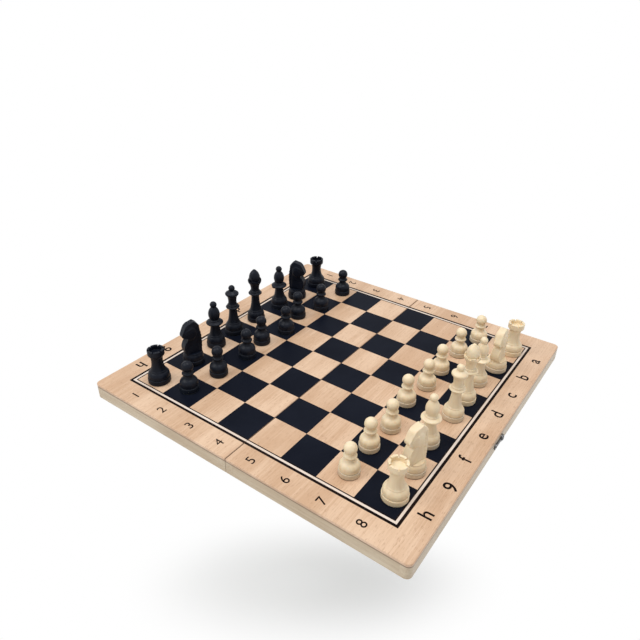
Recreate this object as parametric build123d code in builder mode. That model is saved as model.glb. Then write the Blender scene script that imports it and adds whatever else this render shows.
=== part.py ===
from build123d import *

# A folding magnetic chess set: a board in two hinged trays, its clasp, and thirty-two men.
# X runs from rank 1 to rank 8, Y from file h to file a, and Z is up. The fold lies at X = 0.
# Half a, at negative X, carries the black men, and half b the white men.
import os
from math import asin, cos, sin, sqrt

os.makedirs("parts", exist_ok=True)

# Board, open and lying flat
square = 30.0
squares_a_side = 8
border = 24.0
board_length = squares_a_side * square + 2 * border
half_width = board_length / 2
seam_gap = 0.4
rim_z = 1.5
half_height = 13.0
panel_thickness = 2.0
rail_thickness = 7.0
sheet_thickness = 0.3
lining_thickness = 0.5
outer_corner_radius = 4.0
top_edge_ease = 0.4

top_z = rim_z + half_height
panel_z = top_z - panel_thickness
rail_height = panel_z - rim_z
sheet_z = panel_z - sheet_thickness
lining_z = sheet_z - lining_thickness
half_span = half_width - seam_gap / 2
half_middle = half_width - half_span / 2
tray_span = half_span - 2 * rail_thickness
tray_length = board_length - 2 * rail_thickness

# Butt hinges, mortised into the rims, with their axis at the foot of the seam
hinge_axis_z = 1.4
hinge_length = 30.0
hinge_places = (-88.0, 88.0)
knuckle_radius = 1.4
middle_knuckle = 10.0
knuckle_gap = 0.1
barrel_clearance = 0.2
hinge_pin_radius = 0.6
hinge_running_fit = 0.05
leaf_thickness = 0.8
leaf_reach = 5.8
leaf_root = 0.9
leaf_screw_x = 3.6
leaf_screw_spacing = 18.0
leaf_screw_length = 6.0
leaf_screw_radius = 0.75
leaf_screw_head_radius = 1.5

# Clasp on the outer edges: the hook turns on half b, and its catch pin stands on half a
clasp_z = 7.5
hook_arm = 2 * (clasp_z - hinge_axis_z)
hook_thickness = 1.0
hook_stand_off = 0.1
hook_arm_width = 2.6
hook_eye_radius = 3.0
hook_head_radius = 2.4
hook_notch_radius = 1.05
latch_screw_radius = 1.0
latch_screw_fit = 0.05
latch_screw_head_radius = 1.9
latch_screw_head_height = 0.8
catch_pin_radius = 0.9
catch_pin_head_radius = 1.7
catch_pin_head_height = 0.55
catch_pin_neck = 1.4
clasp_fastener_depth = 6.0
clasp_head_round = 0.6
screw_slot_width = 0.4
screw_slot_depth = 0.3

# Foot of every man: felt pad, base cap with a magnet pocket, shoulder and spigot
felt_thickness = 0.4
felt_inset = 0.4
cap_top = 4.5
cap_edge_round = 0.6
shoulder_top = 5.0
shoulder_inset = 0.8
spigot_top = 6.6
magnet_thickness = 2.5
magnet_radius = 4.0

# Two of a kind stand on a wide base, and the three tall kinds on a narrower one
pawn_base_radius = 7.7
wide_base_radius = 9.2
tall_base_radius = 8.4
pawn_spigot_radius = 5.2
major_spigot_radius = 5.8

# Sides of the moulded bodies, each from the lip above the base cap to the top of the man.
# A step is a point (radius, height), or a pair: a point that an arc passes, and its end.
# A ball is its radius, the height of its centre and the radius of the neck below it.
pawn_lip_radius = 7.35
wide_lip_radius = 8.8
tall_lip_radius = 8.0
pawn_ball = (4.7, 22.1, 3.4)
bishop_ball = (3.0, 41.0, 2.0)
queen_ball = (2.9, 45.6, 2.0)
king_dome_bulge = (4.7, 48.0)
king_tip = (2.0, 51.3)
king_tip_entry = 1.8

tall_foot_side = [
    (7.9, 6.6),
    ((7.45, 8.8), (6.0, 10.6)),
    (6.0, 11.4),
    (5.5, 11.6),
]
pawn_side = [
    (7.3, 7.6),
    ((6.7, 9.6), (5.1, 11.2)),
    ((3.6, 12.8), (3.2, 15.0)),
    (4.6, 15.5),
    ((4.85, 16.2), (4.6, 16.9)),
    (3.8, 17.6),
]
rook_side = [
    (8.7, 6.6),
    ((8.2, 8.8), (6.6, 10.6)),
    (6.6, 11.4),
    (6.1, 11.6),
    ((4.6, 19.0), (5.2, 24.2)),
    (6.8, 26.0),
]
bishop_side = [
    ((4.3, 17.0), (3.9, 21.6)),
    (7.1, 22.9),
    ((7.5, 23.7), (7.0, 24.5)),
    (4.4, 25.9),
    ((3.9, 26.6), (4.0, 27.4)),
    ((5.0, 33.0), (2.4, 38.5)),
]
queen_side = [
    ((4.1, 18.0), (3.6, 25.2)),
    (5.8, 26.4),
    ((6.2, 27.1), (5.8, 27.8)),
    (4.5, 28.6),
    ((3.7, 32.8), (4.5, 37.8)),
    (5.8, 39.4),
    ((6.1, 40.5), (5.3, 41.6)),
    (2.6, 43.2),
]
king_side = [
    ((4.1, 18.8), (3.7, 27.2)),
    (5.9, 28.5),
    ((6.3, 29.1), (5.9, 29.7)),
    (4.2, 31.0),
    ((4.0, 34.4), (4.7, 38.2)),
    (6.0, 40.4),
    ((6.3, 41.6), (6.0, 42.8)),
    (4.7, 43.1),
]
rook_top = 30.6
rook_well_radius = 4.9
rook_well_depth = 3.6
rook_notches = 6
rook_notch_width = 1.4
rook_notch_depth = 2.0

# Knight's head and neck, drawn with the muzzle towards positive X. An arc is a point it passes
# and its end, and the outline runs from the back of the neck over the head to the chest.
knight_foot_side = [
    (8.6, 7.4),
    ((8.2, 9.0), (7.5, 10.0)),
    (7.5, 11.0),
]
knight_bust_z = 11.0
knight_outline = [
    ((-8.0, 23.0), (-6.6, 33.0)),
    ((-6.0, 36.8), (-3.4, 39.2)),
    ((-1.6, 40.0), (0.6, 39.6)),
    ((4.2, 38.0), (6.3, 35.0)),
    (8.4, 30.6),
    ((8.9, 28.2), (7.6, 26.2)),
    (4.6, 25.6),
    ((4.6, 24.2), (5.8, 23.0)),
    ((8.0, 18.5), (7.0, knight_bust_z)),
]
knight_nape_x = -6.8
knight_neck_width = 9.0
knight_bevel = 1.3
knight_bevel_angle = 35

# Cavities of the moulded bodies: radius and height where each one ends
pawn_cavity = (1.2, 13.0)
knight_cavity = (3.6, 9.4)
major_cavity = (2.4, 14.0)

# Kind, square, nudge from the middle of the square (X, Y) and heading in degrees of each man,
# as they stand in a set that was put out by hand
files = "hgfedcba"
men = {
    "black_rook_h": ("rook", "h1", (0, -5), 0),
    "black_knight_g": ("knight", "g1", (2, 1), -108),
    "black_bishop_f": ("bishop", "f1", (-0.9, 1.5), 0),
    "black_queen": ("queen", "e1", (-3.2, -2.6), 0),
    "black_king": ("king", "d1", (-2.1, -2.9), 0),
    "black_bishop_c": ("bishop", "c1", (-0.8, 1.2), 0),
    "black_knight_b": ("knight", "b1", (1, -2), 18),
    "black_rook_a": ("rook", "a1", (1, 2), 0),
    "black_pawn_h": ("pawn", "h2", (-1.8, 1.3), 0),
    "black_pawn_g": ("pawn", "g2", (2.1, 0.6), 0),
    "black_pawn_f": ("pawn", "f2", (3, 5), 0),
    "black_pawn_e": ("pawn", "e2", (-1.1, -0.7), 0),
    "black_pawn_d": ("pawn", "d2", (5, -3), 0),
    "black_pawn_c": ("pawn", "c2", (-3.4, -4.1), 0),
    "black_pawn_b": ("pawn", "b2", (5, -7), 0),
    "black_pawn_a": ("pawn", "a2", (4.4, 2.6), 0),
    "white_pawn_h": ("pawn", "h7", (0.9, 1.1), 0),
    "white_pawn_g": ("pawn", "g7", (-1, 0), 0),
    "white_pawn_f": ("pawn", "f7", (1, -3), 0),
    "white_pawn_e": ("pawn", "e7", (-4.2, 0.5), 0),
    "white_pawn_d": ("pawn", "d7", (-0.7, -0.9), 0),
    "white_pawn_c": ("pawn", "c7", (-1.3, -4.6), 0),
    "white_pawn_b": ("pawn", "b7", (0.4, -0.7), 0),
    "white_pawn_a": ("pawn", "a7", (6, 1), 0),
    "white_rook_h": ("rook", "h8", (6, 1), 0),
    "white_knight_g": ("knight", "g8", (4, -1), -108),
    "white_bishop_f": ("bishop", "f8", (0.3, -0.8), 0),
    "white_queen": ("queen", "e8", (2.5, 7), 0),
    "white_king": ("king", "d8", (1.8, 1.3), 0),
    "white_bishop_c": ("bishop", "c8", (0, -0.5), 0),
    "white_knight_b": ("knight", "b8", (5, -2), -90),
    "white_rook_a": ("rook", "a8", (7, 1), 0),
}


def export(piece, name):
    """Labels a finished piece and writes it."""
    piece.label = name
    export_step(piece, f"parts/{name}.step")


def round_outer_corners(outline, side):
    """Rounds the two corners of a sketched rectangle that lie away from the fold."""
    corners = outline.vertices().group_by(Axis.X)
    fillet(corners[-1] if side > 0 else corners[0], outer_corner_radius)


def playing_panel(side):
    """The printed panel of one half, which covers the frame."""
    with BuildPart() as panel:
        with BuildSketch(Plane.XY.offset(panel_z)) as outline:
            with Locations((side * half_middle, 0)):
                Rectangle(half_span, board_length)
            round_outer_corners(outline, side)
        extrude(amount=panel_thickness)
        chamfer(panel.faces().sort_by(Axis.Z)[-1].edges(), top_edge_ease)
    return panel.part


def tray_sheet(side, bottom, thickness):
    """A flat sheet that fills the tray of one half between its four rails."""
    with BuildPart() as sheet:
        with BuildSketch(Plane.XY.offset(bottom)):
            with Locations((side * half_middle, 0)):
                Rectangle(tray_span, tray_length)
        extrude(amount=thickness)
    return sheet.part


def outer_rail(side, fastener_radius):
    """The rail along the outer end of one half, drilled for its part of the clasp."""
    with BuildPart() as rail:
        with BuildSketch(Plane.XY.offset(rim_z)) as outline:
            with Locations((side * (half_width - rail_thickness / 2), 0)):
                Rectangle(rail_thickness, board_length)
            round_outer_corners(outline, side)
        extrude(amount=rail_height)
        with BuildSketch(Plane((side * half_width, 0, clasp_z), z_dir=(-side, 0, 0))):
            Circle(fastener_radius)
        extrude(amount=clasp_fastener_depth, mode=Mode.SUBTRACT)
    return rail.part


def short_rail(side, end):
    """A rail between the outer rail and the hinge rail, at the near or the far end of the tray."""
    with BuildPart() as rail:
        with BuildSketch(Plane.XY.offset(rim_z)):
            with Locations((side * half_middle, end * (board_length - rail_thickness) / 2)):
                Rectangle(tray_span, rail_thickness)
        extrude(amount=rail_height)
    return rail.part


def leaf_screw_places(side):
    """The centres of the four leaf screws of one half."""
    steps = (-leaf_screw_spacing / 2, leaf_screw_spacing / 2)
    return [(side * leaf_screw_x, y + step) for y in hinge_places for step in steps]


def hinge_rail(side):
    """The rail along the fold, with barrel grooves, leaf pockets and screw holes."""
    with BuildPart() as rail:
        with BuildSketch(Plane.XY.offset(rim_z)):
            with Locations((side * (seam_gap + rail_thickness) / 2, 0)):
                Rectangle(rail_thickness, board_length)
        extrude(amount=rail_height)
        with BuildSketch(Plane.XY.offset(rim_z)):
            with Locations(*[(side * leaf_reach / 2, y) for y in hinge_places]):
                Rectangle(leaf_reach, hinge_length)
        extrude(amount=leaf_thickness, mode=Mode.SUBTRACT)
        for y in hinge_places:
            with BuildSketch(Plane.XZ.offset(-y)):
                with Locations((0, hinge_axis_z)):
                    Circle(knuckle_radius + barrel_clearance)
            extrude(amount=hinge_length / 2, both=True, mode=Mode.SUBTRACT)
        with BuildSketch(Plane.XY.offset(rim_z)):
            with Locations(*leaf_screw_places(side)):
                Circle(leaf_screw_radius)
        extrude(amount=leaf_screw_length, mode=Mode.SUBTRACT)
    return rail.part


def hinge_leaf(side, y):
    """One leaf: its plate, its knuckles and two countersunk holes. Half b has the middle knuckle."""
    middle_half = middle_knuckle / 2
    if side > 0:
        knuckles = [(-middle_half, middle_half)]
        cut_backs = [(-hinge_length / 2, -middle_half), (middle_half, hinge_length / 2)]
        bore_radius = hinge_pin_radius + hinge_running_fit
    else:
        inner = middle_half + knuckle_gap
        knuckles = [(-hinge_length / 2, -inner), (inner, hinge_length / 2)]
        cut_backs = [(-inner, inner)]
        bore_radius = hinge_pin_radius
    with BuildPart() as leaf:
        with BuildSketch(Plane.XY.offset(rim_z)):
            with Locations((side * (leaf_root + leaf_reach) / 2, y)):
                Rectangle(leaf_reach - leaf_root, hinge_length)
            for low, high in cut_backs:
                with Locations((0, y + (low + high) / 2)):
                    Rectangle(2 * (knuckle_radius + barrel_clearance), high - low, mode=Mode.SUBTRACT)
        extrude(amount=leaf_thickness)
        for low, high in knuckles:
            with BuildSketch(Plane.XZ.offset(-(y + low))):
                with Locations((0, hinge_axis_z)):
                    Circle(knuckle_radius)
            extrude(amount=-(high - low))
        with BuildSketch(Plane.XZ.offset(-y)):
            with Locations((0, hinge_axis_z)):
                Circle(bore_radius)
        extrude(amount=hinge_length / 2, both=True, mode=Mode.SUBTRACT)
        for x, screw_y in leaf_screw_places(side):
            if abs(screw_y - y) < hinge_length / 2:
                with Locations(Plane((x, screw_y, rim_z), x_dir=(1, 0, 0), z_dir=(0, 0, -1))):
                    CounterSinkHole(
                        leaf_screw_radius,
                        leaf_screw_head_radius,
                        depth=leaf_thickness,
                        counter_sink_angle=90,
                    )
    return leaf.part


def hinge_pin(y):
    """The pin of one hinge, as long as its leaves."""
    with BuildPart() as pin:
        with BuildSketch(Plane.XZ.offset(-y)):
            with Locations((0, hinge_axis_z)):
                Circle(hinge_pin_radius)
        extrude(amount=hinge_length / 2, both=True)
    return pin.part


def leaf_screw(x, y):
    """A countersunk slotted screw, driven up into the rim."""
    head_depth = leaf_screw_head_radius - leaf_screw_radius
    with BuildPart() as screw:
        with BuildSketch(Plane.XZ):
            with BuildLine():
                Polyline(
                    (0, 0),
                    (leaf_screw_head_radius, 0),
                    (leaf_screw_radius, head_depth),
                    (leaf_screw_radius, leaf_screw_length),
                    (0, leaf_screw_length),
                    close=True,
                )
            make_face()
        revolve(axis=Axis.Z)
        with BuildSketch():
            Rectangle(2 * leaf_screw_head_radius, screw_slot_width)
        extrude(amount=screw_slot_depth, mode=Mode.SUBTRACT)
    return screw.part.moved(Location((x, y, rim_z)))


def latch_hook():
    """The flat hook, open with its arm along the edge of half b, and its notch facing down."""
    with BuildPart() as hook:
        with BuildSketch(Plane.YZ.offset(half_width + hook_stand_off)):
            with Locations((0, clasp_z)):
                Circle(hook_eye_radius)
            with Locations((-hook_arm / 2, clasp_z)):
                Rectangle(hook_arm, hook_arm_width)
            with Locations((-hook_arm, clasp_z)):
                Circle(hook_head_radius)
                Circle(hook_notch_radius, mode=Mode.SUBTRACT)
            with Locations((-hook_arm, clasp_z - hook_head_radius / 2)):
                Rectangle(2 * hook_notch_radius, hook_head_radius, mode=Mode.SUBTRACT)
            with Locations((0, clasp_z)):
                Circle(latch_screw_radius + latch_screw_fit, mode=Mode.SUBTRACT)
        extrude(amount=hook_thickness)
    return hook.part


def clasp_fastener(side, shank_radius, neck, head_radius, head_height, slotted):
    """A headed pin or screw that stands out of an outer rail, with a rounded head."""
    shank_end = -clasp_fastener_depth
    head_top = neck + head_height
    with BuildPart() as fastener:
        with BuildSketch(Plane.XZ) as section:
            with BuildLine():
                Polyline(
                    (0, head_top),
                    (0, shank_end),
                    (shank_radius, shank_end),
                    (shank_radius, neck),
                    (head_radius, neck),
                    (head_radius, head_top),
                    close=True,
                )
            make_face()
            head_edge = section.vertices().sort_by_distance((head_radius, head_top))[0]
            fillet(head_edge, clasp_head_round * head_height)
        revolve(axis=Axis.Z)
        if slotted:
            with BuildSketch(Plane.XY.offset(head_top)):
                Rectangle(2 * head_radius, screw_slot_width)
            extrude(amount=-screw_slot_depth, mode=Mode.SUBTRACT)
    return fastener.part.moved(Location((side * half_width, 0, clasp_z), (0, side * 90, 0)))


def draw_side(start, steps):
    """Draws the side of a turned piece from its start, and returns where it ends."""
    for step in steps:
        if isinstance(step[0], tuple):
            passing, end = step
            ThreePointArc(start, passing, end)
            start = end
        else:
            Line(start, step)
            start = step
    return start


def ball_steps(ball):
    """Steps up to the neck of a ball and over the ball."""
    radius, centre_z, neck_radius = ball
    neck_z = centre_z - sqrt(radius**2 - neck_radius**2)
    return [(neck_radius, neck_z), ((radius, centre_z), (0.0, centre_z + radius))]


def dome_steps(bulge, tip, entry_radius):
    """Steps up a dome and over its round tip. A tip is its radius and the height of its centre."""
    radius, centre_z = tip
    entry = asin(entry_radius / radius)
    tip_start = (entry_radius, centre_z + radius * cos(entry))
    tip_middle = (radius * sin(entry / 2), centre_z + radius * cos(entry / 2))
    return [(bulge, tip_start), (tip_middle, (0.0, centre_z + radius))]


def turned_shell(lip_radius, spigot_radius, side, cavity):
    """A moulded body: its side turned about Z, and a cavity that narrows from the spigot."""
    cavity_radius, cavity_top = cavity
    with BuildPart() as shell:
        with BuildSketch(Plane.XZ):
            with BuildLine():
                Line((0, shoulder_top), (lip_radius, shoulder_top))
                end = draw_side((lip_radius, shoulder_top), side)
                if end[0] > 0:
                    Line(end, (0, end[1]))
                Line((0, end[1]), (0, shoulder_top))
            make_face()
        revolve(axis=Axis.Z)
        with BuildSketch(Plane.XZ):
            with BuildLine():
                Polyline(
                    (0, shoulder_top),
                    (spigot_radius, shoulder_top),
                    (spigot_radius, spigot_top),
                    (cavity_radius, cavity_top),
                    (0, cavity_top),
                    close=True,
                )
            make_face()
        revolve(axis=Axis.Z, mode=Mode.SUBTRACT)
    return shell.part


def base_cap(base_radius, spigot_radius):
    """The cap under a body, with a pocket for the magnet and a spigot that plugs the cavity."""
    with BuildPart() as cap:
        with BuildSketch(Plane.XZ) as section:
            with BuildLine():
                Polyline(
                    (0, felt_thickness + magnet_thickness),
                    (magnet_radius, felt_thickness + magnet_thickness),
                    (magnet_radius, felt_thickness),
                    (base_radius, felt_thickness),
                    (base_radius, cap_top),
                    (base_radius - shoulder_inset, cap_top),
                    (base_radius - shoulder_inset, shoulder_top),
                    (spigot_radius, shoulder_top),
                    (spigot_radius, spigot_top),
                    (0, spigot_top),
                    close=True,
                )
            make_face()
            fillet(section.vertices().group_by(Axis.X)[-1], cap_edge_round)
        revolve(axis=Axis.Z)
    return cap.part


def disc(radius, bottom, thickness):
    """A plain disc about Z: a magnet or a felt pad."""
    with BuildPart() as plate:
        with BuildSketch(Plane.XY.offset(bottom)):
            Circle(radius)
        extrude(amount=thickness)
    return plate.part


def foot(base_radius, spigot_radius):
    """What every man stands on: base cap, magnet and felt pad."""
    return [
        base_cap(base_radius, spigot_radius),
        disc(magnet_radius, felt_thickness, magnet_thickness),
        disc(base_radius - felt_inset, 0, felt_thickness),
    ]


def pawn():
    """A pawn: a domed foot, a collar and a ball."""
    side = pawn_side + ball_steps(pawn_ball)
    shell = turned_shell(pawn_lip_radius, pawn_spigot_radius, side, pawn_cavity)
    return [shell, *foot(pawn_base_radius, pawn_spigot_radius)]


def tall_man(side):
    """A queen, a king or a bishop, turned on the foot that the three kinds share."""
    shell = turned_shell(tall_lip_radius, major_spigot_radius, tall_foot_side + side, major_cavity)
    return [shell, *foot(tall_base_radius, major_spigot_radius)]


def rook():
    """A rook, with a well in its crown and notches through the wall."""
    rim_radius = rook_side[-1][0]
    side = rook_side + [(rim_radius, rook_top)]
    body = turned_shell(wide_lip_radius, major_spigot_radius, side, major_cavity)
    with BuildPart() as shell:
        add(body)
        with BuildSketch(Plane.XY.offset(rook_top)):
            Circle(rook_well_radius)
        extrude(amount=-rook_well_depth, mode=Mode.SUBTRACT)
        with BuildSketch(Plane.XY.offset(rook_top)):
            with PolarLocations(rook_well_radius, rook_notches):
                Rectangle(2 * rook_well_radius, rook_notch_width)
            Circle(rook_well_radius / 2, mode=Mode.SUBTRACT)
        extrude(amount=-rook_notch_depth, mode=Mode.SUBTRACT)
    return [shell.part, *foot(wide_base_radius, major_spigot_radius)]


def knight():
    """A knight: a horse's head and neck on a domed foot."""
    nape = (knight_nape_x, knight_bust_z)
    with BuildPart() as bust:
        with BuildSketch(Plane.XZ):
            with BuildLine():
                chest = draw_side(nape, knight_outline)
                Line(chest, nape)
            make_face()
        extrude(amount=knight_neck_width / 2 - knight_bevel, both=True)
        extrude(bust.faces().filter_by(Axis.Y), amount=knight_bevel, taper=knight_bevel_angle)
    foot_shell = turned_shell(wide_lip_radius, major_spigot_radius, knight_foot_side, knight_cavity)
    with BuildPart() as shell:
        add(foot_shell)
        add(bust.part)
    return [shell.part, *foot(wide_base_radius, major_spigot_radius)]


def man_place(place, nudge, heading):
    """Where a man stands: on its square, a little off the middle, turned to its heading."""
    half_board = squares_a_side * square / 2
    x = (int(place[1]) - 0.5) * square - half_board + nudge[0]
    y = (files.index(place[0]) + 0.5) * square - half_board + nudge[1]
    return Location((x, y, top_z), (0, 0, heading))


# Frame, panels, sheets and linings of both halves
clasp_hole_radius = {"a": catch_pin_radius, "b": latch_screw_radius}
for half, side in (("a", -1), ("b", 1)):
    export(playing_panel(side), f"playing_panel_{half}")
    export(tray_sheet(side, sheet_z, sheet_thickness), f"steel_sheet_{half}")
    export(tray_sheet(side, lining_z, lining_thickness), f"tray_lining_{half}")
    export(outer_rail(side, clasp_hole_radius[half]), f"outer_rail_{half}")
    export(hinge_rail(side), f"hinge_rail_{half}")
    export(short_rail(side, -1), f"near_rail_{half}")
    export(short_rail(side, 1), f"far_rail_{half}")
    leaves = [hinge_leaf(side, y) for y in hinge_places]
    export(Compound(leaves), f"hinge_leaves_{half}")
    screws = [leaf_screw(x, y) for x, y in leaf_screw_places(side)]
    export(Compound(screws), f"hinge_screws_{half}")

export(Compound([hinge_pin(y) for y in hinge_places]), "hinge_pins")

# Clasp
hook_outer_face = hook_stand_off + hook_thickness
latch_screw = clasp_fastener(
    1,
    latch_screw_radius,
    hook_outer_face + latch_screw_fit,
    latch_screw_head_radius,
    latch_screw_head_height,
    slotted=True,
)
catch_pin = clasp_fastener(
    -1,
    catch_pin_radius,
    catch_pin_neck,
    catch_pin_head_radius,
    catch_pin_head_height,
    slotted=False,
)
export(latch_hook(), "latch_hook")
export(latch_screw, "latch_screw")
export(catch_pin, "catch_pin")

# Men
patterns = {
    "pawn": pawn(),
    "rook": rook(),
    "knight": knight(),
    "bishop": tall_man(bishop_side + ball_steps(bishop_ball)),
    "queen": tall_man(queen_side + ball_steps(queen_ball)),
    "king": tall_man(king_side + dome_steps(king_dome_bulge, king_tip, king_tip_entry)),
}
for name, (kind, place, nudge, heading) in men.items():
    standing = man_place(place, nudge, heading)
    export(Compound([solid.moved(standing) for solid in patterns[kind]]), name)
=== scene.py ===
"""Dresses a folding magnetic chess set: printed beech panels, pale rails, felt trays, brass and men.

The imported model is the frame, so every piece is placed in its coordinates, in metres. X runs from
rank 1 to rank 8, Y from file h to file a, and Z is up. The board is folded open at X = 0.
"""

import logging
import math
from collections.abc import Callable, Sequence
from dataclasses import dataclass, field, replace
from enum import Enum

import bmesh
import bpy
import numpy as np
from mathutils import Matrix, Vector


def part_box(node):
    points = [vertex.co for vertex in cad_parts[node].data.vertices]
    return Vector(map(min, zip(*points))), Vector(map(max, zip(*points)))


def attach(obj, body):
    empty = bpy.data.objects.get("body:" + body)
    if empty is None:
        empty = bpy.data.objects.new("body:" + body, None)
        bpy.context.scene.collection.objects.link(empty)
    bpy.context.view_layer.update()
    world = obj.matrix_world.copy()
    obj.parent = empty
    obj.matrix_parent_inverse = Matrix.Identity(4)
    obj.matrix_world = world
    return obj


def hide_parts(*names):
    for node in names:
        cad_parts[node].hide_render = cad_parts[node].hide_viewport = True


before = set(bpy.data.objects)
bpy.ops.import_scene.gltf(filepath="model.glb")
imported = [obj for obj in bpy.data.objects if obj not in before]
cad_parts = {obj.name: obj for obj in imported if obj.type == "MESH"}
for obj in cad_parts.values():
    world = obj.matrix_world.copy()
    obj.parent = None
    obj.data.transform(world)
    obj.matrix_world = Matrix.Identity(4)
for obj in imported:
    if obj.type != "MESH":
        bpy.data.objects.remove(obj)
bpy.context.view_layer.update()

log = logging.getLogger("chess_set")

MM = 0.001

Colour = tuple[float, float, float, float]
Point = tuple[float, float]


def paint(red: int, green: int, blue: int) -> Colour:
    """Turns a colour as it is seen, 0 to 255 a channel, into the linear colour that a shader takes."""
    shares = [channel / 255 for channel in (red, green, blue)]
    linear = [s / 12.92 if s <= 0.04045 else ((s + 0.055) / 1.055) ** 2.4 for s in shares]
    return (linear[0], linear[1], linear[2], 1.0)


class Value:
    """A number that varies over a surface: a socket whose operators add Math nodes."""

    def __init__(self, graph: "Graph", socket: bpy.types.NodeSocket) -> None:
        """Wraps an output socket of a graph."""
        self.graph = graph
        self.socket = socket

    def _math(self, operation: str, first: "Value | float", second: "Value | float") -> "Value":
        """Adds one Math node.

        Args:
            operation: The node's operation.
            first: Its first number.
            second: Its second number.

        Returns:
            The result as a value.
        """
        node = self.graph.node("ShaderNodeMath", {"operation": operation}, {0: first, 1: second})
        return Value(self.graph, node.outputs[0])

    def __add__(self, other: "Value | float") -> "Value":
        """Adds."""
        return self._math("ADD", self, other)

    def __radd__(self, other: float) -> "Value":
        """Adds, with the number first."""
        return self._math("ADD", other, self)

    def __sub__(self, other: "Value | float") -> "Value":
        """Subtracts."""
        return self._math("SUBTRACT", self, other)

    def __rsub__(self, other: float) -> "Value":
        """Subtracts from a number."""
        return self._math("SUBTRACT", other, self)

    def __mul__(self, other: "Value | float") -> "Value":
        """Multiplies."""
        return self._math("MULTIPLY", self, other)

    def __rmul__(self, other: float) -> "Value":
        """Multiplies, with the number first."""
        return self._math("MULTIPLY", other, self)

    def __abs__(self) -> "Value":
        """Drops the sign."""
        return self._math("ABSOLUTE", self, 0.0)

    def highest(self, other: "Value") -> "Value":
        """Takes the higher of two values."""
        return self._math("MAXIMUM", self, other)

    def rise(self, low: float, high: float) -> "Value":
        """Rises smoothly from 0 at low to 1 at high, and falls if low is the larger.

        Args:
            low: Where the result is 0.
            high: Where the result is 1.

        Returns:
            The mask as a value.
        """
        settings = {"interpolation_type": "SMOOTHSTEP"}
        node = self.graph.node("ShaderNodeMapRange", settings, {0: self, 1: low, 2: high})
        return Value(self.graph, node.outputs[0])


class Graph:
    """A node tree that is built node by node."""

    def __init__(self, tree: bpy.types.NodeTree) -> None:
        """Starts an empty tree."""
        self.tree = tree
        self.tree.nodes.clear()

    def node(self, kind: str, settings: dict | None = None, inputs: dict | None = None) -> bpy.types.Node:
        """Adds a node, sets it up, and then fills or links its sockets.

        Args:
            kind: The node's type.
            settings: Its settings. A ramp's stops are given as {"stops": [(place, colour), ...]}.
            inputs: Its sockets by name or number, each a value, a socket or a constant.

        Returns:
            The node.
        """
        node = self.tree.nodes.new(kind)
        for key, setting in (settings or {}).items():
            if key == "stops":
                self._fill_ramp(node, setting)
            else:
                setattr(node, key, setting)
        for key, entry in (inputs or {}).items():
            source = entry.socket if isinstance(entry, Value) else entry
            if isinstance(source, bpy.types.NodeSocket):
                self.tree.links.new(source, node.inputs[key])
            else:
                node.inputs[key].default_value = source
        return node

    def _fill_ramp(self, node: bpy.types.Node, stops: Sequence[tuple[float, Colour]]) -> None:
        """Gives a colour ramp its stops."""
        elements = node.color_ramp.elements
        while len(elements) < len(stops):
            elements.new(0.5)
        for element, (place, colour) in zip(elements, stops):
            element.position = place
            element.color = colour

    def seen(self) -> Value:
        """Is 1 where the camera, a reflection or a transmission sees a surface directly."""
        path = self.node("ShaderNodeLightPath").outputs
        camera, glossy, through = (
            Value(self, path[f"Is {kind} Ray"]) for kind in ("Camera", "Glossy", "Transmission")
        )
        return camera.highest(glossy).highest(through)

    def place(self, stretch: Sequence[float] = (1, 1, 1)) -> bpy.types.NodeSocket:
        """The point on the piece in its own frame, in metres, stretched along each axis."""
        own = self.node("ShaderNodeTexCoord").outputs["Object"]
        return self.node("ShaderNodeVectorMath", {"operation": "MULTIPLY"}, {0: own, 1: stretch}).outputs[0]

    def distance(self) -> Value:
        """How far the point is from the origin of its piece."""
        length = self.node("ShaderNodeVectorMath", {"operation": "LENGTH"}, {0: self.place()})
        return Value(self, length.outputs["Value"])

    def show(self, share: Value, first: bpy.types.Node, second: bpy.types.Node, output: str) -> None:
        """Shows the first shader where the share is 0, and the second where it is 1.

        Args:
            share: The share of the second shader.
            first: The first shader.
            second: The second shader.
            output: The type of the output node.
        """
        mixed = self.node("ShaderNodeMixShader", inputs={0: share, 1: first.outputs[0], 2: second.outputs[0]})
        self.node(output, inputs={"Surface": mixed.outputs[0]})


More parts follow.
